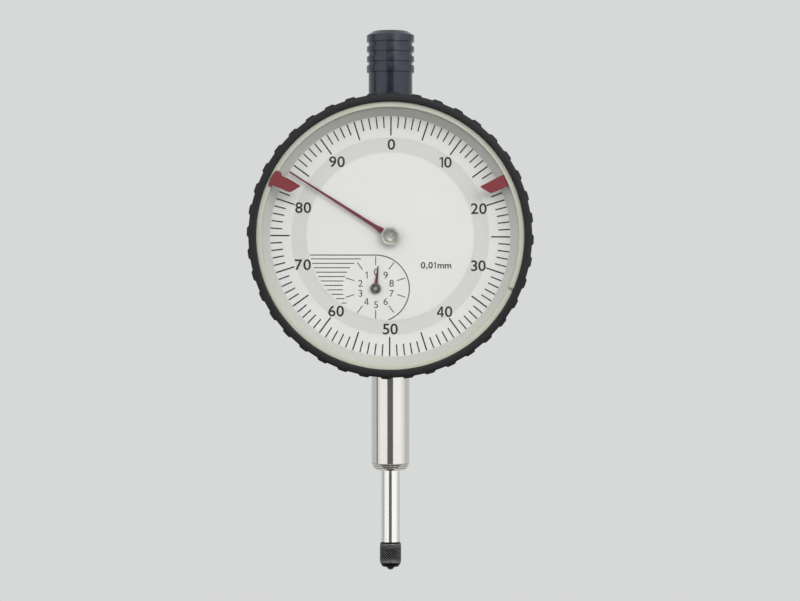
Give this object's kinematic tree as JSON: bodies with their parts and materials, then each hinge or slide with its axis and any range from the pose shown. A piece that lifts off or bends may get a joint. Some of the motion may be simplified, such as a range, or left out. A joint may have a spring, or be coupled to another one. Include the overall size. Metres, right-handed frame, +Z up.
{
  "type": "dial indicator",
  "caption": "Round plunger dial indicator: hundredth-millimetre dial with revolution counter, turning bezel, tolerance markers, clamping stem, sprung spindle and lifting cap.",
  "frame": {"origin": "on the stem's axis, half way down the exposed length of the stem, where a holder clamps it", "axes": "+Z up along the spindle's axis, away from the contact point; the dial faces -Y; +X to the right of someone reading the dial"},
  "size_m": [0.059, 0.0237, 0.1135],
  "materials": {
    "bezel_plastic": "fine satin texture on moulded black plastic",
    "case_paint": "hammered dark grey stove enamel",
    "cap_plastic": "satin blue-grey plastic",
    "polished_steel": "polished hardened steel",
    "stem_steel": "ground and polished stainless steel",
    "satin_steel": "turned steel",
    "contact_black": "blackened, knurled steel",
    "brass": "stamped brass",
    "bronze": "turned bronze",
    "spring_steel": "blued spring steel",
    "dial_white": "matt white dial paint with printed marks",
    "flange_white": "cream plastic",
    "crystal": "clear polished acrylic",
    "hand_red": "dark red lacquer",
    "marker_red": "translucent red plastic",
    "gasket": "thin black gasket"
  },
  "bodies": {
    "case": {"case_shell": "case_paint", "back_cover": "case_paint", "back_cover_gasket": "gasket", "back_cover_screw_1": "polished_steel", "back_cover_screw_2": "polished_steel", "back_cover_screw_3": "polished_steel", "back_cover_screw_4": "polished_steel", "bezel_spring_ring": "spring_steel", "stem": "stem_steel", "lower_guide_bush": "bronze", "upper_neck": "satin_steel", "upper_guide_bush": "bronze", "movement_bridge_plate": "brass", "movement_rear_plate": "brass", "movement_pillar_1": "satin_steel", "movement_pillar_2": "satin_steel", "movement_pillar_3": "satin_steel", "movement_pillar_4": "satin_steel", "movement_screw_1": "polished_steel", "movement_screw_2": "polished_steel", "movement_screw_3": "polished_steel", "movement_screw_4": "polished_steel", "centre_arbor_bush": "bronze", "counter_arbor_bush": "bronze", "measuring_spring": "spring_steel", "spring_post": "satin_steel", "hairspring": "spring_steel", "hairspring_stud": "brass", "dial_centre_disc": "dial_white"},
    "bezel": {"bezel_ring": "bezel_plastic", "scale_ring": "dial_white", "dial_flange_ring": "flange_white", "crystal": "crystal", "crystal_snap_ring": "flange_white"},
    "left_marker": {"marker_left": "marker_red"},
    "right_marker": {"marker_right": "marker_red"},
    "plunger": {"spindle": "polished_steel", "guide_pin": "satin_steel", "contact_holder": "contact_black", "contact_ball": "polished_steel", "lifting_cap": "cap_plastic"},
    "centre_arbor": {"centre_pinion": "satin_steel", "main_hand_hub": "polished_steel", "main_hand": "hand_red"},
    "counter": {"counter_arbor": "satin_steel", "counter_gear": "brass", "counter_hand_hub": "contact_black", "counter_hand": "hand_red"},
    "take_up": {"take_up_arbor": "satin_steel", "take_up_gear": "brass"}
  },
  "joints": [
    {"name": "spindle_slide", "type": "slide", "parent": "case", "child": "plunger", "axis": [0, 0, 1], "range_m": [0, 0.0102], "stiffness_N_per_m": 40, "springref_m": -0.02, "deforming": ["measuring_spring"]},
    {"name": "main_hand_turn", "type": "hinge", "parent": "case", "child": "centre_arbor", "pos_m": [0, 0, 0.039], "axis": [0, 1, 0], "range_deg": [0, 3672]},
    {"name": "counter_turn", "type": "hinge", "parent": "case", "child": "counter", "pos_m": [-0.00303, 0, 0.02822], "axis": [0, 1, 0], "range_deg": [-367.2, 0]},
    {"name": "take_up_turn", "type": "hinge", "parent": "case", "child": "take_up", "pos_m": [0.00749, 0, 0.04732], "axis": [0, 1, 0], "range_deg": [-367.2, 0]},
    {"name": "bezel_turn", "type": "hinge", "parent": "case", "child": "bezel", "pos_m": [0, 0, 0.039], "axis": [0, 1, 0], "continuous": true},
    {"name": "left_marker_turn", "type": "hinge", "parent": "bezel", "child": "left_marker", "pos_m": [0, 0, 0.039], "axis": [0, 1, 0], "continuous": true},
    {"name": "right_marker_turn", "type": "hinge", "parent": "bezel", "child": "right_marker", "pos_m": [0, 0, 0.039], "axis": [0, 1, 0], "continuous": true}
  ],
  "couplings": [
    {"joint": "main_hand_turn", "follows": "spindle_slide", "rad_per_m": 6283.2},
    {"joint": "counter_turn", "follows": "spindle_slide", "rad_per_m": -628.32},
    {"joint": "take_up_turn", "follows": "spindle_slide", "rad_per_m": -628.32}
  ]
}
